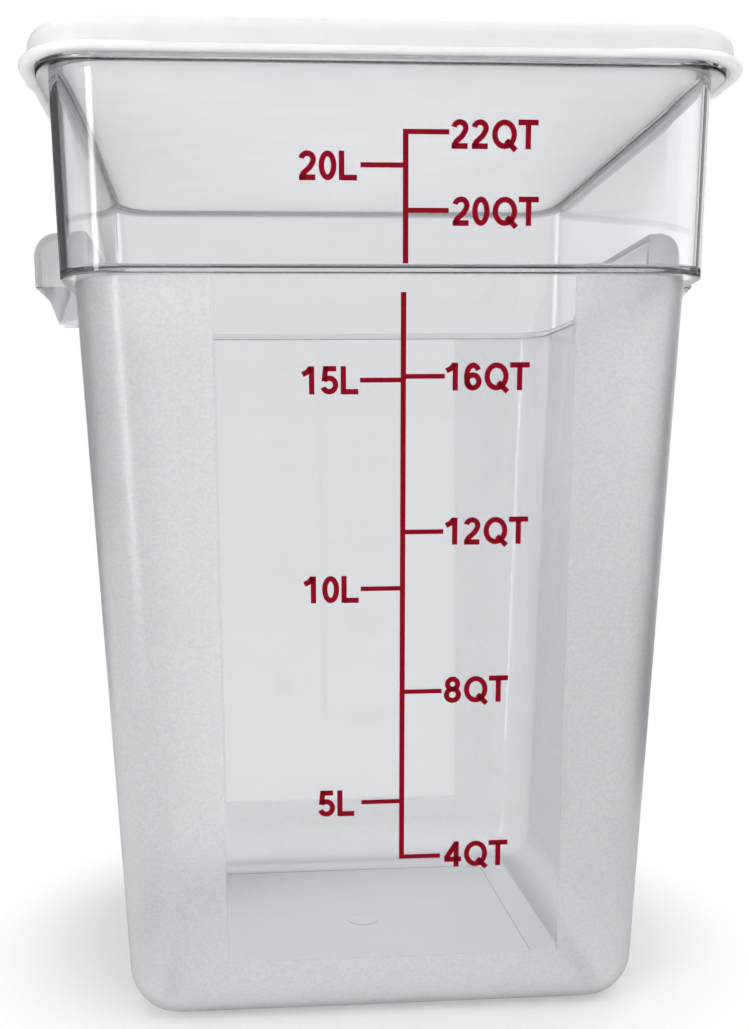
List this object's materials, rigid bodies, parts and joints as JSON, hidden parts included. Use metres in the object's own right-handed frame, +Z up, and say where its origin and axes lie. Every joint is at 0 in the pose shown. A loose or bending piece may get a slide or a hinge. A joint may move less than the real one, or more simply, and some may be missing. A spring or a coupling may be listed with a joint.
{
  "type": "dough proofing container",
  "caption": "Tall clear square food tub with a wider collar, hooded side handles and a printed volume scale, closed by a white lid that lifts off",
  "frame": {"origin": "on the surface that the container stands on, below the middle of its base", "axes": "+Z up towards the lid, -Y out of the front wall that carries the printed scale, +X and -X out of the two handles"},
  "size_m": [0.3036, 0.288, 0.412],
  "materials": {
    "clear_plastic": "clear and glossy, finely stippled outside on the body's sides and corners",
    "ink": "deep red screen print",
    "lid_plastic": "white, smooth satin"
  },
  "bodies": {
    "tub_body": {"tub": "clear_plastic", "printed_scale": "ink"},
    "lid_body": {"lid": "lid_plastic"}
  },
  "joints": [
    {"name": "lid_lift", "type": "slide", "parent": "tub_body", "child": "lid_body", "axis": [0, 0, 1], "range_m": [0, 0.12]}
  ]
}
